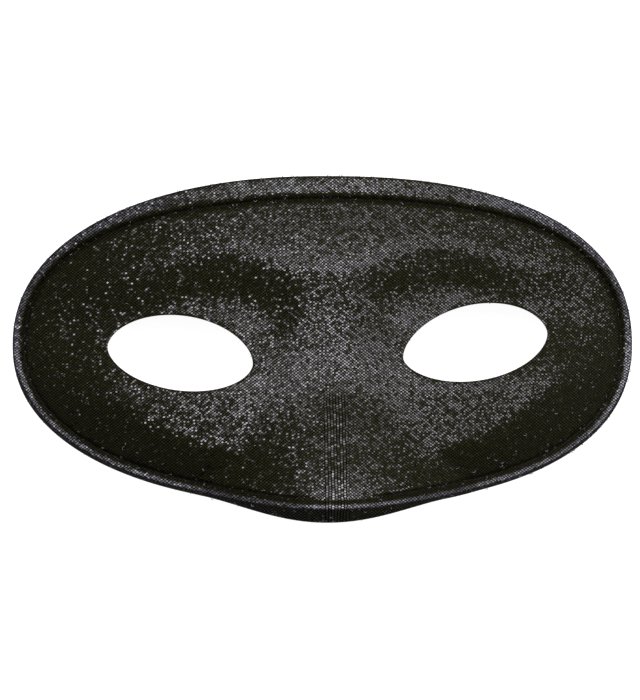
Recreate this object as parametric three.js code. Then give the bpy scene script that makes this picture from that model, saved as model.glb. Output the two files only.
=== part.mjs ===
// A domino half mask, lying face up: one pressed shell of stiff backed cloth with two eye holes.
// Millimetres. +X is the right-hand side as one looks at the face, +Y is up the face, +Z is out of
// it. The two temple ends touch the plane z = 0, and the origin lies there under the middle.
import * as THREE from 'three';
import { mergeVertices } from 'three/addons/utils/BufferGeometryUtils.js';

// Outline: four quarter ovals that meet at the widest level, and a lip that hangs below the nose
const HALF_WIDTH = 85;
const UPPER_HEIGHT = 45.8;
const LOWER_HEIGHT = 43.1;
const UPPER_FULLNESS = [2.22, 2.35]; // exponents of the left and right quarters, 2 in an ellipse
const LOWER_FULLNESS = [2.18, 2.27];
const RIM_BULGE = 1.2; // how far the whole rim hangs below the oval under the nose
const LIP_OVERHANG = 2.7; // how far the cut edge hangs below the rim there
const LIP_HALF_WIDTH = 32.5;
const LIP_SHIFT = -0.9;
const WIDEST_Y = (LOWER_HEIGHT + RIM_BULGE + LIP_OVERHANG - UPPER_HEIGHT) / 2;

// The shell
const WALL = 1.5;
const STEEPEST = 1.6; // slope past which the wall is not made thicker along Z
const WRAP_RISE = 27.3; // the rim's middle above its ends, as it wraps the face
const WRAP_POWER = 2.3;

// The rim: a brim round the edge, a skirt turned back from it, and a groove inside it
const BRIM_WIDTH = 5.2; // at the middle of the forehead
const BRIM_END_WIDTH = 2.2;
const BRIM_NARROWING = [0.25, 1.02]; // shares of the half width between which it narrows
const BRIM_RISE = 1.3; // its inner edge above the face
const BRIM_FALL = 0.2; // how steeply it falls towards the top of the face
const CORNER_RADIUS = 0.5;
const SKIRT_BULGE = 0.15; // play between the outline and the top of the skirt
const SKIRT_DROP = 1.2; // the cut edge below the face
const LIP_SKIRT_DROP = 4.6; // what the skirt reaches lower under the nose
const LOWER_SLANT = 0.7; // how far the skirt leans out along the lower edge
const LOWER_TURN = 0.5; // how far the edge must face down to have that slant in full
const BRIM_SHARE = 0.25; // share of the slant by which the brim's inner edge moves in
const INSIDE_SHARE = 0.5; // the same for the skirt's inner side
const INSIDE_LEAD = 0.5; // the brim's inner side ends that far outside its inner edge
const INSIDE_LEAST = 0.3; // and is at least that wide
const GROOVE_DEPTH = 0.9;
const GROOVE_START = 1; // from the brim's inner edge to the groove's flat bottom
const GROOVE_FLAT = 0.3;
const GROOVE_WIDTH = 2;
const TIP_X = 3; // the stretch at the nose tip that has no groove
const TIP_SPAN = [5, 14];

// Relief, in the face's own directions, which are turned and moved a little from the outline's
const FACE_TURN = THREE.MathUtils.degToRad(2);
const FACE_SHIFT = 0.7;
const FOREHEAD = { rise: 11, flat: 0.42, ease: 0.34 }; // flat is a share of the oval's radius
const CHEEK = { rise: 12.3, flat: 0.69, ease: 0.5 };
const CHEEK_TO_FOREHEAD = [-14, 16];
const CREST = 22.1; // level of the brow's crest over the nose
const CREST_ARCH = 4.5;
const CREST_ARCH_SPAN = [2, 24];
const CREST_FALL = 8;
const CREST_FALL_SPAN = [28, 63];
const CREST_ROUND = 3.6;
const HOLLOW_FLOOR = 5.5; // level of the hollow's lower edge beside the nose
const HOLLOW_FLOOR_RISE = 7.3;
const HOLLOW_FLOOR_SPAN = [9, 26];
const HOLLOW_FLOOR_FALL = 6; // towards the temples
const HOLLOW_FLOOR_FALL_SPAN = [32, 56];
const HOLLOW_DEPTH = 3.8;
const HOLLOW_DEEPENING = 2.2;
const HOLLOW_DEEPENING_SPAN = [13, 34];
const HOLLOW_END = [34, 95];
const HOLLOW_EASE = 0.3;
const HOLLOW_RECOVERY = -14; // level at which the face is back at its full height
const BRIDGE_WALL = [6, 14.5]; // between the bridge and the hollow beside it
const BRIDGE_FOOT = [4, 24]; // the same lower down, where the bridge fans out
const BRIDGE_FAN = [-2, 12];
const NASION_DIP = 0.6;
const NASION_RECOVERY = -20;
const RIM_MARGIN = [0.8, 1]; // shares of the oval's radius in which the hollows run out
const DIP_MARGIN = [0.47, 0.92];

// Nose: a broad wedge that comes out of the face below the bridge
const NOSE_TOP = -8;
const NOSE_TOP_HEIGHT = 39.2;
const NOSE_SLOPE = 0.53;
const NOSE_LENGTH = 28;
const NOSE_FLANK = 15;
const NOSE_WIDTHS = [32, 27]; // half widths at which the flank has fallen by that
const NOSE_FULLNESS = [2.1, 2];
const NOSE_FULLNESS_START = 6;
const NOSE_BLEND = 3.2;
const TIP_START = 24; // below the nose's top
const TIP_EASE = 7;
const TIP_LEVELLING = 0.3; // what the slope loses over the tip

// Eye holes: almonds of slightly different sizes, each with its centre's distance from the middle, its
// half length, its heights above and below the centre, its tilt in degrees and its corners' sharpness
const LEFT_EYE = {
  x: 40.2, y: -0.6, length: 19.6, upper: 11.6, lower: 10.1, tilt: 9.6, inner: 0.11, outer: 0.12,
};
const RIGHT_EYE = {
  x: 39.6, y: -0.6, length: 20.3, upper: 12.2, lower: 10.6, tilt: 8.6, inner: 0.2, outer: 0.13,
};

// Facets
const RIM_STEPS = 96;
const MIDDLE_STEPS = 24;
const FIELD_STEPS = 11;
const SLOPE_STEP = 0.4; // distance over which a slope is measured
const WELD_DISTANCE = 0.001;

const { clamp, degToRad, lerp, smoothstep } = THREE.MathUtils;
const fadeOut = (value, from, to) => 1 - smoothstep(value, from, to);

// From 0 to 1 at an even slope, with eased ends
function ramp(value, from, to, ease) {
  const share = clamp((value - from) / (to - from), 0, 1);
  const rising = (part) => (part < ease ? part ** 2 / (2 * ease) : part - ease / 2);
  const whole = 1 - ease;
  return share < 1 - ease ? rising(share) / whole : 1 - (1 - share) ** 2 / (2 * ease * whole);
}

// Exponent of the outline's quarter
function ovalFullness(x, above) {
  const [left, right] = above ? UPPER_FULLNESS : LOWER_FULLNESS;
  return x < 0 ? left : right;
}

// Point of the outline at angle t, with the direction that points into the mask there
function outlineAt(t) {
  const upper = Math.sin(t) > 0;
  const fullness = ovalFullness(Math.cos(t), upper);
  const height = upper ? UPPER_HEIGHT : LOWER_HEIGHT;
  const power = (value) => Math.sign(value) * Math.abs(value) ** (2 / fullness);
  const x = power(Math.cos(t));
  const y = power(Math.sin(t));
  const slope = (value) => Math.sign(value) * Math.abs(value) ** (fullness - 1);
  const inward = new THREE.Vector2(-slope(x) / HALF_WIDTH, -slope(y) / height).normalize();
  const lip = upper ? 0 : lipShare(x * HALF_WIDTH);
  return { x: x * HALF_WIDTH, y: WIDEST_Y + y * height - RIM_BULGE * lip, inward, lip, upper };
}

// 0 in the middle of the oval and 1 on it
function ovalShare(x, y) {
  const above = y > WIDEST_Y;
  const fullness = ovalFullness(x, above);
  const height = above ? UPPER_HEIGHT : LOWER_HEIGHT;
  const sum = Math.abs(x / HALF_WIDTH) ** fullness + Math.abs((y - WIDEST_Y) / height) ** fullness;
  return sum ** (1 / fullness);
}

function lipShare(x) {
  return Math.max(0, 1 - ((x - LIP_SHIFT) / LIP_HALF_WIDTH) ** 2) ** 2;
}

// Maximum of two heights with a rounded crease
function roundedMax(first, second, blend) {
  const share = clamp(0.5 + (first - second) / (2 * blend), 0, 1);
  return lerp(second, first, share) + blend * share * (1 - share);
}

// Level middle that falls away to nothing at the oval
function swell({ rise, flat, ease }, share) {
  const beyond = Math.max(0, share - flat) / (1 - flat);
  return rise * (1 - (beyond ** 2 * (1 + ease)) / (beyond + ease));
}

// Height of the pressed face above the table, without its rim
function faceHeight(x, y) {
  const across = (x - FACE_SHIFT) * Math.cos(FACE_TURN) + y * Math.sin(FACE_TURN);
  const up = y * Math.cos(FACE_TURN) - (x - FACE_SHIFT) * Math.sin(FACE_TURN);
  const side = Math.hypot(across, 1);
  const share = ovalShare(x, y);
  const wrap = WRAP_RISE * (1 - Math.abs(x / HALF_WIDTH) ** WRAP_POWER);
  const body = lerp(swell(CHEEK, share), swell(FOREHEAD, share), smoothstep(up, ...CHEEK_TO_FOREHEAD));
  return roundedMax(noseHeight(side, up), wrap + body - hollowDepth(side, up, share), NOSE_BLEND);
}

// The hollows under the brow: pits beside the bridge that run out into wings over the eyes
function hollowDepth(side, up, share) {
  const arch = CREST_ARCH * smoothstep(side, ...CREST_ARCH_SPAN);
  const crest = CREST + arch - CREST_FALL * smoothstep(side, ...CREST_FALL_SPAN);
  const innerFloor = HOLLOW_FLOOR + HOLLOW_FLOOR_RISE * smoothstep(side, ...HOLLOW_FLOOR_SPAN);
  const floor = innerFloor - HOLLOW_FLOOR_FALL * smoothstep(side, ...HOLLOW_FLOOR_FALL_SPAN);
  const underBrow = 1 - ramp(up, floor, crest + CREST_ROUND, HOLLOW_EASE);
  const fan = fadeOut(up, ...BRIDGE_FAN);
  const wall = [lerp(BRIDGE_WALL[0], BRIDGE_FOOT[0], fan), lerp(BRIDGE_WALL[1], BRIDGE_FOOT[1], fan)];
  const depth = HOLLOW_DEPTH + HOLLOW_DEEPENING * smoothstep(side, ...HOLLOW_DEEPENING_SPAN);
  const wing = smoothstep(side, ...wall) * fadeOut(side, ...HOLLOW_END) * fadeOut(share, ...RIM_MARGIN);
  const dip = NASION_DIP * smoothstep(up, NASION_RECOVERY, floor) * fadeOut(share, ...DIP_MARGIN);
  return underBrow * (depth * wing * smoothstep(up, HOLLOW_RECOVERY, floor) + dip);
}

function noseHeight(side, up) {
  const down = NOSE_TOP - up;
  const beyond = Math.max(0, down - TIP_START);
  const levelled = beyond < TIP_EASE ? beyond ** 2 / (2 * TIP_EASE) : beyond - TIP_EASE / 2;
  const ridge = NOSE_TOP_HEIGHT + NOSE_SLOPE * down - TIP_LEVELLING * levelled;
  const width = lerp(...NOSE_WIDTHS, smoothstep(down, 0, NOSE_LENGTH));
  const fullness = lerp(...NOSE_FULLNESS, smoothstep(down, NOSE_FULLNESS_START, NOSE_LENGTH));
  return ridge - NOSE_FLANK * (side / width) ** fullness;
}

// The wall measured along Z, which grows with the surface's slope
function wallAlongZ(x, y) {
  const slopeX = (faceHeight(x + SLOPE_STEP, y) - faceHeight(x - SLOPE_STEP, y)) / (2 * SLOPE_STEP);
  const slopeY = (faceHeight(x, y + SLOPE_STEP) - faceHeight(x, y - SLOPE_STEP)) / (2 * SLOPE_STEP);
  return WALL * Math.hypot(1, Math.min(STEEPEST, Math.hypot(slopeX, slopeY)));
}

// The outline's points, each with where the brim starts and ends inside it and how high it stands
function rimStations() {
  return Array.from({ length: RIM_STEPS }, (_, step) => {
    const station = outlineAt((step / RIM_STEPS) * 2 * Math.PI);
    const { x, y, inward, upper } = station;
    const slant = LOWER_SLANT * smoothstep(inward.y, 0, LOWER_TURN);
    const narrowing = upper ? smoothstep(Math.abs(x) / HALF_WIDTH, ...BRIM_NARROWING) : 1;
    const end = lerp(BRIM_WIDTH, BRIM_END_WIDTH, narrowing) + BRIM_SHARE * slant;
    const inner = new THREE.Vector2(x, y).addScaledVector(inward, end);
    const groove = upper ? 1 : smoothstep(Math.abs(x - TIP_X), ...TIP_SPAN);
    return { ...station, start: slant, end, top: faceHeight(inner.x, inner.y) + BRIM_RISE, groove };
  });
}

// Points on the brim at an inset from the outline, or under it
function brimRow(stations, insetAt, under = 0) {
  return stations.map((station) => {
    const inset = insetAt(station);
    const at = new THREE.Vector2(station.x, station.y).addScaledVector(station.inward, inset);
    const lean = BRIM_FALL * station.inward.y * Math.max(0, station.end - inset);
    return new THREE.Vector3(at.x, at.y, station.top + lean - under);
  });
}

// Points on the face inside the brim, sunk by some depth, or on the wall's inner side
function grooveRow(stations, beyond, depth, inside = false) {
  return stations.map(({ x, y, inward, end, groove }) => {
    const at = new THREE.Vector2(x, y).addScaledVector(inward, end + beyond);
    const wall = inside ? wallAlongZ(at.x, at.y) : 0;
    return new THREE.Vector3(at.x, at.y, faceHeight(at.x, at.y) - depth * groove - wall);
  });
}

// The cut edge, level with the table at the temples and hanging lower under the nose
function edgeRow(stations, inset) {
  return stations.map(({ x, y, inward, lip }) => {
    const at = new THREE.Vector2(x, y - LIP_OVERHANG * lip).addScaledVector(inward, inset);
    const drop = SKIRT_DROP + LIP_SKIRT_DROP * lip;
    return new THREE.Vector3(at.x, at.y, Math.max(0, faceHeight(x, y) - drop));
  });
}

// Outline of one eye hole, at an angle round its own centre
function eyeEdge(side, angle) {
  const eye = side > 0 ? RIGHT_EYE : LEFT_EYE;
  const inner = Math.abs(Math.cos(angle / 2)) ** eye.inner;
  const outer = Math.abs(Math.sin(angle / 2)) ** eye.outer;
  const height = (Math.sin(angle) > 0 ? eye.upper : eye.lower) * Math.sin(angle) * inner * outer;
  return new THREE.Vector2(eye.length * Math.cos(angle), height)
    .rotateAround(new THREE.Vector2(), degToRad(eye.tilt))
    .add(new THREE.Vector2(eye.x, eye.y))
    .multiply(new THREE.Vector2(side, 1))
    .rotateAround(new THREE.Vector2(), FACE_TURN)
    .add(new THREE.Vector2(FACE_SHIFT, 0));
}

// The angle at which the eye's edge is nearest to a point of the mask
function eyeAngle(side, point) {
  const eye = side > 0 ? RIGHT_EYE : LEFT_EYE;
  const local = new THREE.Vector2(point.x - FACE_SHIFT, point.y)
    .rotateAround(new THREE.Vector2(), -FACE_TURN)
    .multiply(new THREE.Vector2(side, 1))
    .sub(new THREE.Vector2(eye.x, eye.y))
    .rotateAround(new THREE.Vector2(), -degToRad(eye.tilt));
  const height = local.y > 0 ? eye.upper : eye.lower;
  return Math.atan2(local.y / height, local.x / eye.length);
}

// Closed rows from half of the rim's last row, completed down the middle, to one eye's edge
function fieldRows(side, rim) {
  const top = rim[RIM_STEPS / 4];
  const bottom = rim[(RIM_STEPS * 3) / 4];
  const turned = rim.slice((RIM_STEPS * 3) / 4).concat(rim.slice(0, (RIM_STEPS * 3) / 4));
  const half = RIM_STEPS / 2;
  const arc = side > 0 ? turned.slice(0, half + 1) : turned.slice(half).concat(turned.slice(0, 1));
  const from = side > 0 ? top : bottom;
  const to = side > 0 ? bottom : top;
  const middle = Array.from({ length: MIDDLE_STEPS }, (_, step) =>
    from.clone().lerp(to, (step + 1) / (MIDDLE_STEPS + 1))
  );
  const outer = arc.concat(middle);
  return Array.from({ length: FIELD_STEPS + 1 }, (_, row) =>
    outer.map((point) => {
      const edge = eyeEdge(side, eyeAngle(side, point));
      return new THREE.Vector2(point.x, point.y).lerp(edge, row / FIELD_STEPS);
    })
  );
}

// A plan row lifted onto the face, or onto the wall's inner side
function raisedRow(row, inside) {
  return row.map(({ x, y }) => {
    const wall = inside ? wallAlongZ(x, y) : 0;
    return new THREE.Vector3(x, y, faceHeight(x, y) - wall);
  });
}

// Adds the band of facets between two closed rows, each four points parted along the shorter diagonal
function addBand(positions, outer, inner) {
  outer.forEach((start, index) => {
    const next = (index + 1) % outer.length;
    const quad = [start, outer[next], inner[next], inner[index]];
    const first = quad[0].distanceTo(quad[2]) > quad[1].distanceTo(quad[3]) ? 1 : 0;
    for (const corner of [0, 1, 2, 0, 2, 3]) {
      const { x, y, z } = quad[(first + corner) % quad.length];
      positions.push(x, y, z);
    }
  });
}

function addBands(positions, rows) {
  rows.slice(1).forEach((row, index) => addBand(positions, rows[index], row));
}

function maskGeometry() {
  const positions = [];
  const stations = rimStations();
  const grooveMiddle = GROOVE_START + GROOVE_FLAT / 2;
  const skirtInside = ({ start }) => INSIDE_SHARE * start + WALL;
  const brimInside = (station) => Math.max(skirtInside(station) + INSIDE_LEAST, station.end - INSIDE_LEAD);
  const front = [
    edgeRow(stations, 0),
    brimRow(stations, ({ start }) => start + SKIRT_BULGE, CORNER_RADIUS),
    brimRow(stations, ({ start }) => start + CORNER_RADIUS),
    brimRow(stations, ({ start, end }) => lerp(start + CORNER_RADIUS, end, 0.5)),
    brimRow(stations, ({ end }) => end),
    grooveRow(stations, GROOVE_START, GROOVE_DEPTH),
    grooveRow(stations, GROOVE_START + GROOVE_FLAT, GROOVE_DEPTH),
    grooveRow(stations, GROOVE_WIDTH, 0),
  ];
  const back = [
    grooveRow(stations, GROOVE_WIDTH, 0, true),
    grooveRow(stations, grooveMiddle, GROOVE_DEPTH, true),
    brimRow(stations, brimInside, WALL),
    brimRow(stations, skirtInside, WALL),
    edgeRow(stations, WALL),
    edgeRow(stations, 0),
  ];
  addBands(positions, front);
  addBands(positions, back);
  for (const side of [1, -1]) {
    const rows = fieldRows(side, front.at(-1));
    const outside = rows.map((row) => raisedRow(row, false));
    const inside = rows.map((row) => raisedRow(row, true));
    addBands(positions, outside.concat(inside.reverse()));
  }
  const geometry = new THREE.BufferGeometry();
  geometry.setAttribute('position', new THREE.Float32BufferAttribute(positions, 3));
  const welded = mergeVertices(geometry, WELD_DISTANCE);
  welded.computeVertexNormals();
  return welded;
}

const blackCloth = new THREE.MeshStandardMaterial({ color: 0x1c1b1f, roughness: 0.8, metalness: 0 });
const shell = new THREE.Mesh(maskGeometry(), blackCloth);
shell.name = 'mask_shell';

const mask = new THREE.Group();
mask.add(shell);

export default mask;
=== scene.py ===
import math

import bmesh
import bpy
import numpy as np
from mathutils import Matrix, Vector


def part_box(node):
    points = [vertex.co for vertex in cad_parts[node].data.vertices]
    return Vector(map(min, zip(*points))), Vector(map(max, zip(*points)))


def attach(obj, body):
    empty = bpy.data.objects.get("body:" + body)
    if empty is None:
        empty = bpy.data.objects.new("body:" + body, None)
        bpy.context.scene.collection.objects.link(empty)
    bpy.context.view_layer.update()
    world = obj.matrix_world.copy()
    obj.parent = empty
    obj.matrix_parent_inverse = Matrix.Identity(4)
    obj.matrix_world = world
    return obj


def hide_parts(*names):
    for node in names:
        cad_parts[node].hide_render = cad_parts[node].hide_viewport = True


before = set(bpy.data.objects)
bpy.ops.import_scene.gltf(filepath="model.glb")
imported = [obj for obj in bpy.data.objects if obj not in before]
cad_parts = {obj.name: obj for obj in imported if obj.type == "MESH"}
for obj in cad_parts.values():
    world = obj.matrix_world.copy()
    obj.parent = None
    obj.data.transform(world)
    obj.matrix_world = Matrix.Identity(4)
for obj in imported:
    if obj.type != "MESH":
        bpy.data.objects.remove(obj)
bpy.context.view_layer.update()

MM = 0.001

# Outline: four quarter ovals as wide as the solid that meet at the widest level, and a lip that
# hangs below the nose
shell_low, shell_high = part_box("mask_shell")
HALF_WIDTH = (shell_high.x - shell_low.x) / 2 / MM
WIDEST_Y = 0.6
RIM_BULGE = 1.2  # how far the whole rim hangs below the oval under the nose
LIP_OVERHANG = 2.7  # how far the cut edge hangs below the rim there
UPPER_HEIGHT = 45.8
LOWER_HEIGHT = 43.1
UPPER_FULLNESS = (2.22, 2.35)  # exponents of the left and right quarters, 2 in an ellipse
LOWER_FULLNESS = (2.18, 2.27)
LIP_HALF_WIDTH = 32.5
LIP_SHIFT = -0.9

# The shell, which wraps down from the middle to the temples
WALL = 1.5
STEEPEST = 1.6  # slope past which the wall is not made thicker along Z
WRAP_RISE = 27.3  # the rim's middle above its ends, as it wraps the face
WRAP_POWER = 2.3

# The rim: a brim round the face, a groove inside it and a skirt down from it
BRIM_WIDTH = 5.2  # at the middle of the forehead
BRIM_END_WIDTH = 2.2
BRIM_NARROWING = (0.25, 1.02)  # shares of the half width between which it narrows
BRIM_RISE = 1.3  # its inner edge above the face
BRIM_FALL = 0.2  # how steeply it falls towards the top of the face
BRIM_SHARE = 0.25  # share of the slant by which the brim's inner edge moves in
CORNER_RADIUS = 0.5
SKIRT_BULGE = 0.15  # play between the outline and the top of the skirt
SKIRT_DROP = 1.2  # the cut edge below the face
LIP_SKIRT_DROP = 4.6  # what the skirt reaches lower under the nose
LOWER_SLANT = 0.7  # how far the skirt leans out along the lower edge
LOWER_TURN = 0.5  # how far the edge must face down to have that slant in full
GROOVE_DEPTH = 0.9
GROOVE_START = 1.0  # from the brim's inner edge to the groove's flat bottom
GROOVE_FLAT = 0.3
GROOVE_WIDTH = 2.0
TIP_X = 3  # the stretch at the nose tip that has no groove
TIP_SPAN = (5, 14)
INSIDE_SHARE = 0.5  # as BRIM_SHARE, for the skirt's inner side
INSIDE_LEAST = 0.3  # the brim's inner side is at least that wide
INSIDE_LEAD = 0.5  # and ends that far outside its inner edge

# How much painted sheen the brim's upper half gets, and where along it that comes in
UPPER_SHEEN = 0.8
UPPER_SHEEN_SPAN = (0.3, 0.7)

# Relief, turned and shifted a little in the outline. FOREHEAD and CHEEK are each a rise, the share
# of the oval that is level and an easing.
FACE_TURN = math.radians(2)
FACE_SHIFT = 0.7
MIDLINE_ROUNDING = 1
FOREHEAD = (11, 0.42, 0.34)
CHEEK = (12.3, 0.69, 0.5)
CHEEK_TO_FOREHEAD = (-14, 16)
CREST = 22.1  # level of the brow's crest over the nose
CREST_ARCH = 4.5
CREST_ARCH_SPAN = (2, 24)
CREST_FALL = 8
CREST_FALL_SPAN = (28, 63)
CREST_ROUND = 3.6
HOLLOW_FLOOR = 5.5  # level of the hollow's lower edge beside the nose
HOLLOW_FLOOR_RISE = 7.3
HOLLOW_FLOOR_SPAN = (9, 26)
HOLLOW_FLOOR_FALL = 6  # towards the temples
HOLLOW_FLOOR_FALL_SPAN = (32, 56)
HOLLOW_DEPTH = 3.8
HOLLOW_DEEPENING = 2.2
HOLLOW_DEEPENING_SPAN = (13, 34)
HOLLOW_END = (34, 95)
HOLLOW_EASE = 0.3
HOLLOW_RECOVERY = -14  # level at which the face is back at its full height
BRIDGE_WALL = (6, 14.5)  # between the bridge and the hollow beside it
BRIDGE_FOOT = (4, 24)  # the same lower down, where the bridge fans out
BRIDGE_FAN = (-2, 12)
NASION_DIP = 0.6
NASION_RECOVERY = -20
RIM_MARGIN = (0.8, 1)  # shares of the oval's radius in which the hollows run out
DIP_MARGIN = (0.47, 0.92)

# Nose
NOSE_TOP = -8
NOSE_TOP_HEIGHT = 39.2
NOSE_SLOPE = 0.53
NOSE_LENGTH = 28
NOSE_FLANK = 15
NOSE_WIDTHS = (32, 27)  # half widths at which the flank has fallen by that
NOSE_FULLNESS = (2.1, 2.0)
NOSE_FULLNESS_START = 6
NOSE_BLEND = 3.2
TIP_START = 24  # below the nose's top
TIP_EASE = 7
TIP_LEVELLING = 0.3  # what the slope loses over the tip

# Eye holes. Length, upper and lower are half sizes, and inner and outer sharpen the corners.
LEFT_EYE = {
    "x": 40.2, "y": -0.6, "length": 19.6, "upper": 11.6, "lower": 10.1, "tilt": 9.6,
    "inner": 0.11, "outer": 0.12,
}
RIGHT_EYE = {
    "x": 39.6, "y": -0.6, "length": 20.3, "upper": 12.2, "lower": 10.6, "tilt": 8.6,
    "inner": 0.2, "outer": 0.13,
}
EYE_EDGE_ROLL = 0.25

# How finely the shell is drawn
RIM_STEPS = 480
MIDDLE_STEPS = 110
FRONT_ROWS = 56
FRONT_CROWDING = 0.9  # below 1, rows are closer together at the eyes
BACK_ROWS = 20
FRONT_CUTS = 2
BACK_CUTS = 1
SLOPE_STEP = 0.4  # distance over which a slope is measured
WELD = 0.001
SHARP = math.radians(50)


def smooth(value, start, end):
    share = np.clip((value - start) / (end - start), 0, 1)
    return share * share * (3 - 2 * share)


def fade(value, start, end):
    return 1 - smooth(value, start, end)


def mix(first, second, share):
    return first + (second - first) * share


def ramp(value, start, end, ease):
    """From 0 to 1 at an even slope, with eased ends."""
    share = np.clip((value - start) / (end - start), 0, 1)
    rising = np.where(share < ease, share ** 2 / (2 * ease), share - ease / 2) / (1 - ease)
    return np.where(share < 1 - ease, rising, 1 - (1 - share) ** 2 / (2 * ease * (1 - ease)))


def turned(points, angle):
    """Plan points turned about the origin."""
    x, y = points[:, 0], points[:, 1]
    cosine, sine = math.cos(angle), math.sin(angle)
    return np.stack([x * cosine - y * sine, x * sine + y * cosine], axis=1)


def oval_fullness(x, above):
    """Exponent of the outline's quarter."""
    upper, lower = np.where(x < 0, *UPPER_FULLNESS), np.where(x < 0, *LOWER_FULLNESS)
    return np.where(above, upper, lower)


def oval_share(x, y):
    """0 in the middle of the oval and 1 on it."""
    above = y > WIDEST_Y
    fullness = oval_fullness(x, above)
    height = np.where(above, UPPER_HEIGHT, LOWER_HEIGHT)
    across, up = np.abs(x / HALF_WIDTH), np.abs((y - WIDEST_Y) / height)
    return (across ** fullness + up ** fullness) ** (1 / fullness)


def lip_share(x):
    """How much of the lip there is under the nose: 1 in its middle and 0 beyond its ends."""
    return np.maximum(0, 1 - ((x - LIP_SHIFT) / LIP_HALF_WIDTH) ** 2) ** 2


def rounded_max(first, second, blend):
    share = np.clip(0.5 + (first - second) / (2 * blend), 0, 1)
    return mix(second, first, share) + blend * share * (1 - share)


def swell(shape, share):
    """Level middle that falls away to nothing at the oval."""
    rise, flat, ease = shape
    beyond = np.maximum(0, share - flat) / (1 - flat)
    return rise * (1 - beyond ** 2 * (1 + ease) / (beyond + ease))


def hollow_depth(side, up, share):
    """The hollows under the brow: pits beside the bridge that run out into wings over the eyes."""
    crest = (CREST + CREST_ARCH * smooth(side, *CREST_ARCH_SPAN)
             - CREST_FALL * smooth(side, *CREST_FALL_SPAN))
    floor = (HOLLOW_FLOOR + HOLLOW_FLOOR_RISE * smooth(side, *HOLLOW_FLOOR_SPAN)
             - HOLLOW_FLOOR_FALL * smooth(side, *HOLLOW_FLOOR_FALL_SPAN))
    under_brow = 1 - ramp(up, floor, crest + CREST_ROUND, HOLLOW_EASE)
    fan = fade(up, *BRIDGE_FAN)
    wall = [mix(top, foot, fan) for top, foot in zip(BRIDGE_WALL, BRIDGE_FOOT)]
    depth = HOLLOW_DEPTH + HOLLOW_DEEPENING * smooth(side, *HOLLOW_DEEPENING_SPAN)
    wing = smooth(side, *wall) * fade(side, *HOLLOW_END) * fade(share, *RIM_MARGIN)
    dip = NASION_DIP * smooth(up, NASION_RECOVERY, floor) * fade(share, *DIP_MARGIN)
    return under_brow * (depth * wing * smooth(up, HOLLOW_RECOVERY, floor) + dip)


def nose_height(side, up):
    down = NOSE_TOP - up
    beyond = np.maximum(0, down - TIP_START)
    levelled = np.where(beyond < TIP_EASE, beyond ** 2 / (2 * TIP_EASE), beyond - TIP_EASE / 2)
    ridge = NOSE_TOP_HEIGHT + NOSE_SLOPE * down - TIP_LEVELLING * levelled
    width = mix(*NOSE_WIDTHS, smooth(down, 0, NOSE_LENGTH))
    fullness = mix(*NOSE_FULLNESS, smooth(down, NOSE_FULLNESS_START, NOSE_LENGTH))
    return ridge - NOSE_FLANK * (side / width) ** fullness


def face_height(x, y):
    """Height of the pressed face above the table, without its rim."""
    across = (x - FACE_SHIFT) * math.cos(FACE_TURN) + y * math.sin(FACE_TURN)
    up = y * math.cos(FACE_TURN) - (x - FACE_SHIFT) * math.sin(FACE_TURN)
    side = np.hypot(across, MIDLINE_ROUNDING)
    share = oval_share(x, y)
    wrap = WRAP_RISE * (1 - np.abs(x / HALF_WIDTH) ** WRAP_POWER)
    body = mix(swell(CHEEK, share), swell(FOREHEAD, share), smooth(up, *CHEEK_TO_FOREHEAD))
    face = wrap + body - hollow_depth(side, up, share)
    return rounded_max(nose_height(side, up), face, NOSE_BLEND)


def wall_along_z(x, y):
    """The wall measured along Z, which grows with the surface's slope."""
    rise_x = face_height(x + SLOPE_STEP, y) - face_height(x - SLOPE_STEP, y)
    rise_y = face_height(x, y + SLOPE_STEP) - face_height(x, y - SLOPE_STEP)
    slope_x, slope_y = rise_x / (2 * SLOPE_STEP), rise_y / (2 * SLOPE_STEP)
    return WALL * np.hypot(1, np.minimum(STEEPEST, np.hypot(slope_x, slope_y)))


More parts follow.
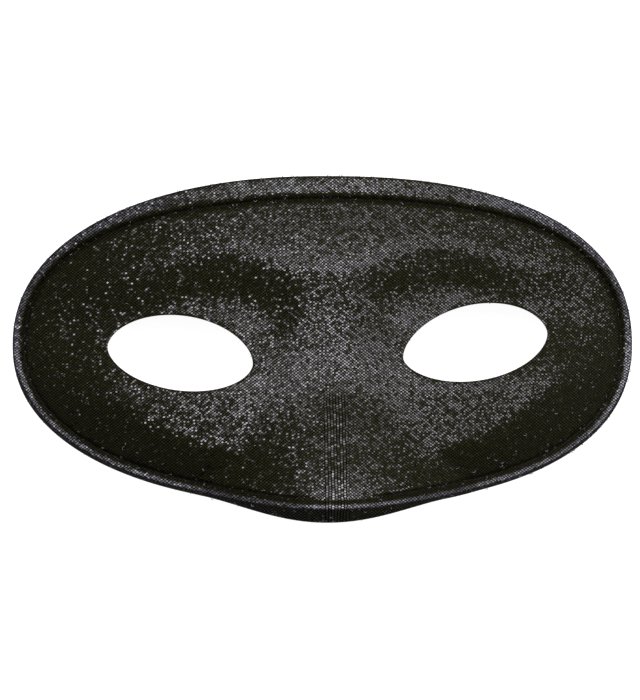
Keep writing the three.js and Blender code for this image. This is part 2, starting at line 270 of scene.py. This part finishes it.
class Rim:
    """The outline's points, with where the brim starts and ends inside them and its height."""

    def __init__(self, steps):
        t = np.arange(steps) / steps * 2 * math.pi
        upper = np.sin(t) > 0
        fullness = oval_fullness(np.cos(t), upper)
        height = np.where(upper, UPPER_HEIGHT, LOWER_HEIGHT)
        unit = np.stack([np.cos(t), np.sin(t)])
        unit = np.sign(unit) * np.abs(unit) ** (2 / fullness)
        slope = np.sign(unit) * np.abs(unit) ** (fullness - 1)
        inward = np.stack([-slope[0] / HALF_WIDTH, -slope[1] / height])
        self.inward = (inward / np.linalg.norm(inward, axis=0)).T
        x = unit[0] * HALF_WIDTH
        self.lip = np.where(upper, 0, lip_share(x))
        self.outline = np.column_stack([x, WIDEST_Y + unit[1] * height - RIM_BULGE * self.lip])
        self.start = LOWER_SLANT * smooth(self.inward[:, 1], 0, LOWER_TURN)
        aside = np.abs(x) / HALF_WIDTH
        narrowing = np.where(upper, smooth(aside, *BRIM_NARROWING), 1)
        # Painted sheen: the brim's share of pale yarn, in full along the lower edge and fading in
        # towards the forehead's middle
        self.painted_light = np.where(upper, UPPER_SHEEN * smooth(aside, *UPPER_SHEEN_SPAN), 1)
        self.end = mix(BRIM_WIDTH, BRIM_END_WIDTH, narrowing) + self.start * BRIM_SHARE
        self.top = face_height(*self.inside(self.end).T) + BRIM_RISE
        self.groove = np.where(upper, 1, smooth(np.abs(x - TIP_X), *TIP_SPAN))

    def inside(self, inset):
        return self.outline + self.inward * np.reshape(inset, (-1, 1))

    def brim_row(self, inset, under=0, brim_sheen=0):
        """On the brim at an inset from the outline, or under it. Painted sheen may be laid on
        there.
        """
        fall = BRIM_FALL * self.inward[:, 1] * np.maximum(0, self.end - inset)
        height = self.top + fall - under
        return np.column_stack([self.inside(inset), height, brim_sheen * self.painted_light])

    def groove_row(self, beyond, depth, under=False):
        """On the face inside the brim, sunk by some depth, or on the wall's inner side. Sunk points
        are marked for painted shade.
        """
        at = self.inside(self.end + beyond)
        wall = wall_along_z(*at.T) if under else 0
        # Painted shade: sunk groove points are marked, so that their cloth gets less yarn and looks
        # darker
        groove_shade = -self.groove if depth else 0 * self.lip
        height = face_height(*at.T) - depth * self.groove - wall
        return np.column_stack([at, height, groove_shade])

    def edge_row(self, inset):
        """The cut edge, on the table at the temples and hanging lower under the nose."""
        hanging = self.outline - np.column_stack([0 * self.lip, LIP_OVERHANG * self.lip])
        z = face_height(*self.outline.T) - SKIRT_DROP - LIP_SKIRT_DROP * self.lip
        return np.column_stack([hanging + self.inward * inset, np.maximum(0, z), 0 * self.lip])


def rounded(rows, times):
    """Rows with their corners cut again and again. The first and last stay where they are."""
    for _ in range(times):
        cut = [rows[0]]
        for before, after in zip(rows, rows[1:]):
            cut += [0.75 * before + 0.25 * after, 0.25 * before + 0.75 * after]
        rows = cut + [rows[-1]]
    return rows


def eye_edge(side, angle):
    """Outline of one eye hole, at angles round its own centre."""
    eye = RIGHT_EYE if side > 0 else LEFT_EYE
    taper = np.abs(np.cos(angle / 2)) ** eye["inner"] * np.abs(np.sin(angle / 2)) ** eye["outer"]
    height = np.where(np.sin(angle) > 0, eye["upper"], eye["lower"]) * np.sin(angle) * taper
    level = np.column_stack([eye["length"] * np.cos(angle), height])
    points = turned(level, math.radians(eye["tilt"]))
    points = (points + (eye["x"], eye["y"])) * (side, 1)
    return turned(points, FACE_TURN) + (FACE_SHIFT, 0)


def eye_angle(side, points):
    """The angle at which the eye's edge is nearest to each point of the mask."""
    eye = RIGHT_EYE if side > 0 else LEFT_EYE
    local = turned(points - (FACE_SHIFT, 0), -FACE_TURN) * (side, 1)
    local = turned(local - (eye["x"], eye["y"]), -math.radians(eye["tilt"]))
    height = np.where(local[:, 1] > 0, eye["upper"], eye["lower"])
    return np.arctan2(local[:, 1] / height, local[:, 0] / eye["length"])


def field_rows(side, rim, shares):
    """Plan rows from half of the rim's last row, completed down the middle, to one eye's edge."""
    quarter, half = RIM_STEPS // 4, RIM_STEPS // 2
    upright = np.roll(rim[:, :2], -3 * quarter, axis=0)
    arc = upright[: half + 1] if side > 0 else np.vstack([upright[half:], upright[:1]])
    share = (np.arange(MIDDLE_STEPS) + 1)[:, None] / (MIDDLE_STEPS + 1)
    outer = np.vstack([arc, arc[-1] + (arc[0] - arc[-1]) * share])
    edge = eye_edge(side, eye_angle(side, outer))
    return [outer + (edge - outer) * share for share in shares]


class Surface:
    """Points and four-sided faces of one mesh, gathered band by band.

    A point's fourth number carries painted light: above 0 painted sheen on the brim, below 0
    painted shade in the groove."""

    def __init__(self):
        self.points, self.faces, self.finishes, self.count = [], [], [], 0

    def row(self, points):
        numbers = np.arange(self.count, self.count + len(points))
        self.points.append(points)
        self.count += len(points)
        return numbers

    def bands(self, rows, finish):
        numbers = [self.row(points) for points in rows]
        for outer, inner in zip(numbers, numbers[1:]):
            corners = [outer, np.roll(outer, -1), np.roll(inner, -1), inner]
            self.faces.append(np.column_stack(corners))
            self.finishes.append(np.full(len(outer), finish))

    def piece(self, name, materials):
        mesh = bpy.data.meshes.new(name)
        points = np.vstack(self.points)
        mesh.from_pydata((points[:, :3] * MM).tolist(), [], np.vstack(self.faces).tolist())
        # The fourth numbers, painted light, go to the cloth's material as an attribute
        painted_light = mesh.attributes.new("painted_light", "FLOAT", "POINT")
        painted_light.data.foreach_set("value", points[:, 3].astype(np.float32))
        mesh.polygons.foreach_set("material_index", np.concatenate(self.finishes).astype(np.int32))
        for material in materials:
            mesh.materials.append(material)
        welded = bmesh.new()
        welded.from_mesh(mesh)
        bmesh.ops.remove_doubles(welded, verts=welded.verts, dist=WELD * MM)
        welded.to_mesh(mesh)
        welded.free()
        mesh.shade_smooth()
        mesh.set_sharp_from_angle(angle=SHARP)
        piece = bpy.data.objects.new(name, mesh)
        bpy.context.scene.collection.objects.link(piece)
        return piece


def raised(rows, under):
    """Plan rows lifted onto the face, or onto its inside."""
    lifted = []
    for row in rows:
        wall = wall_along_z(*row.T) if under else 0
        lifted.append(np.column_stack([row, face_height(*row.T) - wall, 0 * row[:, 0]]))
    return lifted


CLOTH, LINING, CUT = range(3)


def mask_shell(materials):
    rim = Rim(RIM_STEPS)
    corner = rim.start + CORNER_RADIUS
    skirt_inside = rim.start * INSIDE_SHARE + WALL
    brim_inside = np.maximum(skirt_inside + INSIDE_LEAST, rim.end - INSIDE_LEAD)
    front = rounded([
        rim.edge_row(0),
        rim.brim_row(rim.start + SKIRT_BULGE, CORNER_RADIUS),
        rim.brim_row(corner, brim_sheen=1),
        rim.brim_row(mix(corner, rim.end, 0.5), brim_sheen=1),
        rim.brim_row(rim.end),
        rim.groove_row(GROOVE_START, GROOVE_DEPTH),
        rim.groove_row(GROOVE_START + GROOVE_FLAT, GROOVE_DEPTH),
        rim.groove_row(GROOVE_WIDTH, 0),
    ], FRONT_CUTS)
    back = rounded([
        rim.groove_row(GROOVE_WIDTH, 0, True),
        rim.groove_row(GROOVE_START + GROOVE_FLAT / 2, GROOVE_DEPTH, True),
        rim.brim_row(brim_inside, WALL),
        rim.brim_row(skirt_inside, WALL),
        rim.edge_row(WALL),
    ], BACK_CUTS)
    shell = Surface()
    shell.bands(front, CLOTH)
    shell.bands(back, LINING)
    shell.bands([rim.edge_row(WALL), rim.edge_row(0)], CUT)
    front_shares = np.linspace(0, 1, FRONT_ROWS) ** FRONT_CROWDING
    back_shares = np.linspace(0, 1, BACK_ROWS)
    for side in (1, -1):
        outer = raised(field_rows(side, front[-1], front_shares), False)
        rolled = outer[-1] - (0, 0, EYE_EDGE_ROLL, 0)
        inner = raised(field_rows(side, front[-1], back_shares), True)
        shell.bands(outer[:-1] + [rolled], CLOTH)
        shell.bands([rolled, inner[-1]], CUT)
        shell.bands(inner[::-1], LINING)
    return shell.piece("black_cloth_shell", materials)


class Number:
    """A number that varies over a surface. Python's operators on it add Math nodes."""

    def __init__(self, finish, socket):
        self.finish, self.socket = finish, socket

    def maths(self, operation, *others):
        inputs = dict(enumerate((self, *others)))
        return self.finish.number("ShaderNodeMath", {"operation": operation}, inputs)

    def swapped(self, operation, other):
        return self.finish.number("ShaderNodeMath", {"operation": operation}, {0: other, 1: self})

    def __add__(self, other):
        return self.maths("ADD", other)

    def __radd__(self, other):
        return self.swapped("ADD", other)

    def __sub__(self, other):
        return self.maths("SUBTRACT", other)

    def __rsub__(self, other):
        return self.swapped("SUBTRACT", other)

    def __mul__(self, other):
        return self.maths("MULTIPLY", other)

    def __truediv__(self, other):
        return self.maths("DIVIDE", other)

    def floor(self):
        return self.maths("FLOOR")

    def absolute(self):
        return self.maths("ABSOLUTE")


class Nodes:
    """A tree of nodes, and the one way they are made."""

    def __init__(self, tree):
        self.tree = tree
        self.tree.nodes.clear()

    def node(self, kind, settings=None, inputs=None):
        made = self.tree.nodes.new(kind)
        for name, value in (settings or {}).items():
            setattr(made, name, value)
        for name, value in (inputs or {}).items():
            value = value.socket if isinstance(value, Number) else value
            if isinstance(value, bpy.types.NodeSocket):
                self.tree.links.new(value, made.inputs[name])
            else:
                made.inputs[name].default_value = value
        return made


class Finish(Nodes):
    """A material."""

    def __init__(self, name):
        self.material = bpy.data.materials.new(name)
        self.material.use_nodes = True
        super().__init__(self.material.node_tree)

    def number(self, kind, settings=None, inputs=None, output=0):
        return Number(self, self.node(kind, settings, inputs).outputs[output])

    def place(self):
        """The point on the piece in millimetres, as three numbers."""
        here = self.node("ShaderNodeTexCoord").outputs["Object"]
        parts = self.node("ShaderNodeSeparateXYZ", None, {0: here}).outputs
        return [Number(self, part) / MM for part in parts]

    def vector(self, *parts):
        return self.node("ShaderNodeCombineXYZ", None, dict(enumerate(parts))).outputs[0]

    def vectors(self, operation, *parts, **named):
        """A sum, difference or other result of vectors."""
        inputs = {**dict(enumerate(parts)), **named}
        return self.node("ShaderNodeVectorMath", {"operation": operation}, inputs).outputs[0]

    def noise(self, at, scale, detail=2.0):
        inputs = {"Vector": at, "Scale": scale, "Detail": detail}
        return self.number("ShaderNodeTexNoise", None, inputs, "Fac")

    def wander(self, at, scale, reach):
        """A vector that drifts slowly over the piece, to either side of nothing."""
        drift = self.node("ShaderNodeTexNoise", None, {"Vector": at, "Scale": scale, "Detail": 2.0})
        centred = self.vectors("SUBTRACT", drift.outputs["Color"], (0.5, 0.5, 0.5))
        return self.vectors("SCALE", centred, Scale=reach)

    def span(self, value, start, end, to_start=0.0, to_end=1.0):
        """Smooth passage from one number to another as value crosses a span."""
        inputs = {"Value": value, "From Min": start, "From Max": end,
                  "To Min": to_start, "To Max": to_end}
        return self.number("ShaderNodeMapRange", {"interpolation_type": "SMOOTHSTEP"}, inputs)

    def blend(self, kind, share, first, second):
        """Between two colours or two vectors."""
        slots = {"RGBA": ("A", "B", "Result"), "VECTOR": (4, 5, 1)}[kind]
        inputs = {0: share, slots[0]: first, slots[1]: second}
        return self.node("ShaderNodeMix", {"data_type": kind}, inputs).outputs[slots[2]]

    def end(self, **sockets):
        inputs = {name.replace("_", " "): value for name, value in sockets.items()}
        shader = self.node("ShaderNodeBsdfPrincipled", None, inputs)
        self.node("ShaderNodeOutputMaterial", None, {"Surface": shader.outputs[0]})
        return self.material


# Cloth: rows of stitches fall to both sides, and stand upright as ribs down the nose
ROW_PITCH = 0.62
ROW_ANGLE = math.radians(38)
ROW_DRIFT = (0.12, 0.8)  # how finely and how far the rows wander
ROW_PAINTED_SHADE = 0.4  # how much fainter one of the two sets of rows gets: painted shade on the set that catches less light
ROW_PAINTED_SHADE_SPAN = (-14.0, 14.0)
ROW_PAINTED_SHADE_SLANT = 0.03
RIB_PITCH = (0.8, 0.66)  # across the ribs and along them
RIB_STAGGER = 0.5
RIB_FIRMNESS = (1.0, 0.7)
RIBS_X = 1.8
RIBS_REACH = (5.0, 15.0)  # squares of the distances from their middle in which they fade
RIBS_RAGGEDNESS = 16.0  # how unevenly they do so
RIBS_TOP = (-18.0, -9.0)  # levels in which they fade upwards

# The skirt's stitches go round it instead, where the cloth is steeper than this
STEEP = 0.4
STEEP_EDGE = 0.01

# How far stitches lean, and how unevenly
STITCH_TILT = 0.33
LOOSE_TILT = 0.6  # added in the few stitches that stick out most
STITCH_EDGE_LEAN = 0.5
SLOW_TILT = (0.22, 0.09)  # how finely and how far whole patches lean
STITCH_ROUGHNESS = 0.28

# How much yarn there is between the gaps
FUZZ_SCALE = 4.0
FUZZ = 0.3
FULL_STITCH = 0.85  # how full the thinnest stitch is
YARN_EDGE = (0.66, 0.82)
# Painted shade in the groove: marked points lose yarn, so the cloth there is darker
GROOVE_SHADE_SPAN = (-0.9, -0.2)
GROOVE_SHADE_YARN = 0.4  # what is left of the yarn in the groove, as painted shade

# Painted sheen on the brim: patches of pale yarn where it catches the light
SHEEN_PATCH_SCALE = 1.6
SHEEN_PATCH_CHANCE = 0.2
SHEEN_PATCH_EDGE = (0.42, 0.62)

BLACK_YARN = (0.0118, 0.0115, 0.003, 1)
SHEEN_YARN = (0.084, 0.082, 0.093, 1)  # pale: painted sheen on the brim
# Between the stitches: darker than the yarn and, as a dark metal, without sheen; painted shade in
# the gaps
GAP = (0.0058, 0.0056, 0.0015, 1)


def stitches(finish, places, ways, firmness):
    """Knit stitches in the cells of a lattice.

    Gives how much of a stitch there is at each point, how it leans, and two chances of its own."""
    cells = [(place + 0.5).floor() for place in places]
    present, lean = 1.0, (0, 0, 0)
    for place, cell, way, firm in zip(places, cells, ways, firmness):
        offset = (place - cell) * 2.0
        cubed = offset * offset * offset
        present = (1.0 - offset * cubed * firm) * present
        edge = finish.vectors("SCALE", way, Scale=cubed * cubed * offset * firm)
        lean = finish.vectors("ADD", lean, edge)
    cell = finish.vector(*cells, 0.0)
    chance = finish.node("ShaderNodeTexWhiteNoise", {"noise_dimensions": "2D"}, {"Vector": cell})
    return present, lean, Number(finish, chance.outputs["Value"]), chance.outputs["Color"]


def falling_rows(finish, x, y, x_here, y_here):
    """Stitches in two sets of slanting rows, of which one is fainter on each side of the nose, as
    painted shade.
    """
    cosine, sine = math.cos(ROW_ANGLE), math.sin(ROW_ANGLE)
    rows = [(y_here * cosine + x_here * side * sine) * (1 / ROW_PITCH) for side in (-1, 1)]
    ways = ((-sine, cosine, 0), (sine, cosine, 0))
    # Painted shade: less yarn in the set of rows that catches less light
    row_shade = finish.span(x + y * ROW_PAINTED_SHADE_SLANT, *ROW_PAINTED_SHADE_SPAN) * ROW_PAINTED_SHADE
    return stitches(finish, rows, ways, (1.0 - row_shade, (1 - ROW_PAINTED_SHADE) + row_shade))


def upright_ribs(finish, x_here, y_here):
    rib = x_here / RIB_PITCH[0]
    along = y_here / RIB_PITCH[1] + (rib + 0.5).floor() * RIB_STAGGER
    return stitches(finish, (rib, along), ((1, 0, 0), (0, 1, 0)), RIB_FIRMNESS)


def black_cloth():
    """Black knitted satin, whose small stitches lie unevenly and glint one by one."""
    finish = Finish("black_cloth")
    x, y, z = finish.place()
    at = finish.vector(x, y, z)
    drift = finish.node("ShaderNodeSeparateXYZ", None, {0: finish.wander(at, *ROW_DRIFT)}).outputs
    facing = finish.node("ShaderNodeNewGeometry").outputs["Normal"]
    level = Number(finish, finish.node("ShaderNodeSeparateXYZ", None, {0: facing}).outputs[2])
    skirt = finish.span(level, STEEP - STEEP_EDGE, STEEP + STEEP_EDGE, 1.0, 0.0)
    round_skirt = x.absolute() - (y - WIDEST_Y).absolute()
    x_here = x + (round_skirt - x) * skirt + Number(finish, drift[0])
    y_here = y + (z - y) * skirt + Number(finish, drift[1])

    fuzz = finish.noise(at, FUZZ_SCALE)
    from_ribs = x - RIBS_X
    aside = from_ribs * from_ribs + (fuzz - 0.5) * RIBS_RAGGEDNESS
    ribbed = finish.span(aside, *RIBS_REACH, 1.0, 0.0) * finish.span(y, *RIBS_TOP, 1.0, 0.0)
    ribbed = ribbed * (1.0 - skirt)
    rows = falling_rows(finish, x, y, x_here, y_here)
    ribs = upright_ribs(finish, x_here, y_here)
    present = rows[0] * (1.0 - ribbed) + ribs[0] * ribbed
    lean = finish.blend("VECTOR", ribbed, rows[1], ribs[1])
    chance = rows[2] * (1.0 - ribbed) + ribs[2] * ribbed
    tilt = finish.blend("VECTOR", ribbed, rows[3], ribs[3])

    painted_light = finish.number("ShaderNodeAttribute", {"attribute_name": "painted_light"}, None, "Fac")
    fullness = present * (FULL_STITCH + chance * (1 - FULL_STITCH)) + (fuzz - 0.5) * FUZZ
    # Fewer stitches in the groove: painted shade
    yarn = finish.span(fullness, *YARN_EDGE) * finish.span(painted_light, *GROOVE_SHADE_SPAN, GROOVE_SHADE_YARN, 1.0)
    unevenness = STITCH_TILT + chance * chance * chance * LOOSE_TILT
    centred = finish.vectors("SUBTRACT", tilt, (0.5, 0.5, 0.5))
    tilt = finish.vectors("SCALE", centred, Scale=unevenness)
    lean = finish.vectors("ADD", tilt, finish.vectors("SCALE", lean, Scale=STITCH_EDGE_LEAN))
    facing = finish.vectors("ADD", facing, finish.wander(at, *SLOW_TILT))
    leaning = finish.vectors("NORMALIZE", finish.vectors("ADD", facing, lean))
    # Painted sheen: pale yarn in patches where the brim is marked
    sheen_patches = finish.noise(at, SHEEN_PATCH_SCALE) + chance * SHEEN_PATCH_CHANCE
    sheen_share = finish.span(painted_light, 0.0, 1.0) * finish.span(sheen_patches, *SHEEN_PATCH_EDGE)
    colour = finish.blend("RGBA", sheen_share, BLACK_YARN, SHEEN_YARN)
    # The gaps are a dark metal of full roughness: painted shade between the stitches
    return finish.end(
        Base_Color=finish.blend("RGBA", yarn, GAP, colour),
        Metallic=1.0 - yarn,
        Roughness=finish.span(yarn, 0.0, 1.0, 1.0, STITCH_ROUGHNESS),
        Specular_IOR_Level=0.5,
        Normal=leaning,
    )


# Inside and cut edge
FELT = {"grain": (2.2, 6.0), "patches": (0.12, 3.0), "grain share": 0.6, "bump": 0.15}
FELT_COLOURS = ((0.012, 0.012, 0.013, 1), (0.04, 0.039, 0.041, 1))
CUT_GRAIN = (3.0, 4.0)
CUT_BUMP = 0.1
CUT_COLOURS = ((0.006, 0.006, 0.006, 1), (0.03, 0.03, 0.032, 1))


def lining():
    """Inside: a matt charcoal backing with a faint felted grain."""
    finish = Finish("felt_backing")
    at = finish.vector(*finish.place())
    grain, patches = finish.noise(at, *FELT["grain"]), finish.noise(at, *FELT["patches"])
    shade = grain * FELT["grain share"] + patches * (1 - FELT["grain share"])
    bump = finish.node("ShaderNodeBump", None, {"Height": grain, "Distance": FELT["bump"] * MM})
    return finish.end(Base_Color=finish.blend("RGBA", shade, *FELT_COLOURS), Roughness=0.95,
                      Specular_IOR_Level=0.25, Normal=bump.outputs[0])


def cut_edge():
    """The edge of the cut laminate, where cloth and backing show in layers."""
    finish = Finish("cut_edge")
    grain = finish.noise(finish.vector(*finish.place()), *CUT_GRAIN)
    bump = finish.node("ShaderNodeBump", None, {"Height": grain, "Distance": CUT_BUMP * MM})
    return finish.end(Base_Color=finish.blend("RGBA", grain, *CUT_COLOURS), Roughness=0.9,
                      Specular_IOR_Level=0.3, Normal=bump.outputs[0])


# Threads that have worked loose all over the cloth, as small loops
GLINT_PATCH_SCALE = 3.0
# Dark thread and pale grey patches: the grey paints glints
THREAD_GLINT_COLOURS = ((0.02, 0.02, 0.018, 1), (0.16, 0.158, 0.17, 1))
GLINT_COLOUR_SPAN = (0.35, 0.65)
GLINT_ROUGHNESS_SPAN = (0.3, 0.7, 0.6, 0.4)  # over the first two, from the third to the fourth
LOOP_SIZES = {
    "Loops per square metre": 90000.0,
    "Length": 0.55 * MM,
    "Height": 0.5 * MM,
    "Thread radius": 0.05 * MM,
    "Clear of the table": 2 * MM,
    "Seed": 7,
}
LOOP_SPREAD = (0.5, 1.6)  # the smallest and the largest, in shares of the sizes above
LOOP_BENDS = 4
THREAD_SIDES = 4


def thread():
    """The cloth's yarn, pale grey and smoother in patches, which paint glints on the loops."""
    finish = Finish("loose_thread")
    glint_patches = finish.noise(finish.vector(*finish.place()), GLINT_PATCH_SCALE)
    colour = finish.blend("RGBA", finish.span(glint_patches, *GLINT_COLOUR_SPAN), *THREAD_GLINT_COLOURS)
    return finish.end(Base_Color=colour, Roughness=finish.span(glint_patches, *GLINT_ROUGHNESS_SPAN),
                      Specular_IOR_Level=0.5)


def loop_pattern(finish):
    """Small loops of thread, strewn over the cloth's faces and standing on it every way round."""
    tree = bpy.data.node_groups.new("loose_loops", "GeometryNodeTree")
    pattern = Nodes(tree)
    interface = tree.interface
    interface.new_socket("Cloth", in_out="INPUT", socket_type="NodeSocketGeometry")
    for name in LOOP_SIZES:
        kind = "NodeSocketInt" if name == "Seed" else "NodeSocketFloat"
        interface.new_socket(name, in_out="INPUT", socket_type=kind)
    interface.new_socket("Loops", in_out="OUTPUT", socket_type="NodeSocketGeometry")
    given = pattern.node("NodeGroupInput").outputs

    def made(kind, settings=None, inputs=None, output=0):
        return pattern.node(kind, settings, inputs).outputs[output]

    def chance(low, high):
        limits = {2: low, 3: high, "Seed": given["Seed"]}
        return made("FunctionNodeRandomValue", {"data_type": "FLOAT"}, limits, 1)

    def along(axis, length, share):
        sized = made("ShaderNodeMath", {"operation": "MULTIPLY"}, {0: length, 1: share})
        return made("ShaderNodeCombineXYZ", None, {axis: sized})

    is_cloth = made("FunctionNodeCompare", {"data_type": "INT", "operation": "EQUAL"},
                    {2: made("GeometryNodeInputMaterialIndex"), 3: CLOTH})
    height = made("ShaderNodeSeparateXYZ", None, {0: made("GeometryNodeInputPosition")}, 2)
    is_clear = made("FunctionNodeCompare", {"data_type": "FLOAT", "operation": "GREATER_THAN"},
                    {0: height, 1: given["Clear of the table"]})
    chosen = made("FunctionNodeBooleanMath", {"operation": "AND"}, {0: is_cloth, 1: is_clear})
    strewn = pattern.node("GeometryNodeDistributePointsOnFaces", {"distribute_method": "RANDOM"}, {
        "Mesh": given["Cloth"], "Selection": chosen,
        "Density": given["Loops per square metre"], "Seed": given["Seed"]}).outputs

    arch = made("GeometryNodeCurveQuadraticBezier", None, {
        "Resolution": LOOP_BENDS, "Start": along("X", given["Length"], -0.5),
        "Middle": along("Z", given["Height"], 1.0), "End": along("X", given["Length"], 0.5)})
    outline = made("GeometryNodeCurvePrimitiveCircle", None, {
        "Resolution": THREAD_SIDES, "Radius": given["Thread radius"]})
    loop = made("GeometryNodeCurveToMesh", None, {
        "Curve": arch, "Profile Curve": outline, "Fill Caps": True})

    spin = made("FunctionNodeAxisAngleToRotation", None, {
        "Axis": (0, 0, 1), "Angle": chance(0.0, 2 * math.pi)})
    facing = made("FunctionNodeRotateRotation", {"rotation_space": "LOCAL"}, {
        0: strewn["Rotation"], 1: spin})
    standing = made("GeometryNodeInstanceOnPoints", None, {
        "Points": strewn["Points"], "Instance": loop, "Rotation": facing,
        "Scale": chance(*LOOP_SPREAD)})
    real = made("GeometryNodeRealizeInstances", None, {0: standing})
    finished = made("GeometryNodeSetMaterial", None, {"Geometry": real, "Material": finish})
    pattern.node("NodeGroupOutput", None, {"Loops": finished})
    return tree


def loose_threads(cloth, finish):
    """A plain mesh of the loops that the pattern strews over the cloth."""
    maker = bpy.data.objects.new("loop_maker", cloth.data)
    bpy.context.scene.collection.objects.link(maker)
    modifier = maker.modifiers.new("loose_loops", "NODES")
    modifier.node_group = loop_pattern(finish)
    for socket in modifier.node_group.interface.items_tree:
        if socket.name in LOOP_SIZES:
            modifier[socket.identifier] = LOOP_SIZES[socket.name]
    shaped = maker.evaluated_get(bpy.context.evaluated_depsgraph_get())
    mesh = bpy.data.meshes.new_from_object(shaped)
    mesh.name = "loose_threads"
    mesh.shade_smooth()
    bpy.data.objects.remove(maker)
    piece = bpy.data.objects.new("loose_threads", mesh)
    bpy.context.scene.collection.objects.link(piece)
    return piece


# Camera. Its distance is in metres, and what it aims at is in millimetres.
CAMERA_DISTANCE = 1.5
CAMERA_YAW = math.radians(-2.0)
SENSOR_HEIGHT = 24
PIXELS_HIGH = 700
MM_PER_PIXEL = 0.274
TARGET = (-0.82, -0.54, 2.0)

# Studio: a pale floor that curves up into a wall all round, in metres
FLOOR_GAP = 0.00005
FLOOR_RADIUS = 3.0
FLOOR_CURVE = 1.0
FLOOR_CURVE_STEPS = 13
WALL_HEIGHT = 3.0
FLOOR_SIDES = 96
FLOOR_COLOUR = (0.3, 0.3, 0.3, 1)
FLOOR_GLOW = 0.96
WORLD_STRENGTH = 0.09

# Each window's degrees to the right and up from overhead, distance, width and height, and power
WINDOWS = {
    "front_window": (1, 18, 2.2, (4.0, 1.2), 82),
    "front_core": (-3, 19, 2.15, (1.3, 0.5), 22),
    "right_window": (58, 18, 2.2, (1.2, 1.2), 27),
    "top_window": (6, 45, 2.2, (3.0, 1.0), 18),
}
WINDOW_COLOUR = (0.9, 0.88, 1.0)


def direction(right_degrees, up_degrees):
    """Unit vector tilted from straight up towards +X and towards +Y."""
    right, up = math.tan(math.radians(right_degrees)), math.tan(math.radians(up_degrees))
    vector = np.array([right, up, 1.0])
    return vector / np.linalg.norm(vector)


def camera():
    data = bpy.data.cameras.new("camera")
    data.sensor_fit = "VERTICAL"
    data.sensor_height = SENSOR_HEIGHT
    data.lens = SENSOR_HEIGHT * CAMERA_DISTANCE / (PIXELS_HIGH * MM_PER_PIXEL * MM)
    seen_from = np.array([math.sin(CAMERA_YAW), 0, math.cos(CAMERA_YAW)])
    made = bpy.data.objects.new("camera", data)
    made.location = np.array(TARGET) * MM + seen_from * CAMERA_DISTANCE
    made.rotation_euler = (0, CAMERA_YAW, 0)
    bpy.context.scene.collection.objects.link(made)
    bpy.context.scene.camera = made


def soft_light(name, right, up, distance, size, power):
    data = bpy.data.lights.new(name, "AREA")
    data.shape = "ELLIPSE"
    data.size, data.size_y = size
    data.energy = power
    data.color = WINDOW_COLOUR
    made = bpy.data.objects.new(name, data)
    away = direction(right, up)
    made.location = away * distance
    made.rotation_euler = (math.acos(away[2]), 0, math.atan2(away[0], -away[1]))
    made.visible_camera = False
    bpy.context.scene.collection.objects.link(made)


def studio_floor():
    """The floor faces up and inwards, and sheds no light on the mask."""
    pale = Finish("pale_floor").end(
        Base_Color=FLOOR_COLOUR, Roughness=0.9, Specular_IOR_Level=0.0,
        Emission_Color=(1, 1, 1, 1), Emission_Strength=FLOOR_GLOW)
    bend = np.linspace(0, math.pi / 2, FLOOR_CURVE_STEPS)
    profile = [(0, 0)]
    for angle in bend:
        out, up = math.sin(angle), 1 - math.cos(angle)
        profile.append((FLOOR_RADIUS + FLOOR_CURVE * out, FLOOR_CURVE * up))
    profile.append((FLOOR_RADIUS + FLOOR_CURVE, WALL_HEIGHT))
    around = np.arange(FLOOR_SIDES) / FLOOR_SIDES * 2 * math.pi
    flat = 0 * around
    rows = [np.column_stack([r * np.cos(around), r * np.sin(around), flat + z - FLOOR_GAP, flat])
            for r, z in profile[::-1]]
    bowl = Surface()
    bowl.bands([row / MM for row in rows], 0)
    floor = bowl.piece("studio_floor", [pale])
    floor.visible_diffuse = False
    floor.visible_glossy = False
    return floor


def studio():
    studio_floor()
    for name, window in WINDOWS.items():
        soft_light(name, *window)
    world = bpy.data.worlds.new("studio")
    world.use_nodes = True
    background = world.node_tree.nodes["Background"].inputs
    background["Color"].default_value = (1, 1, 1, 1)
    background["Strength"].default_value = WORLD_STRENGTH
    bpy.context.scene.world = world
    bpy.context.scene.view_settings.view_transform = "Standard"


camera()
studio()
shell = mask_shell([black_cloth(), lining(), cut_edge()])
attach(shell, "root")
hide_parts("mask_shell")
threads = loose_threads(shell, thread())
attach(threads, "root")
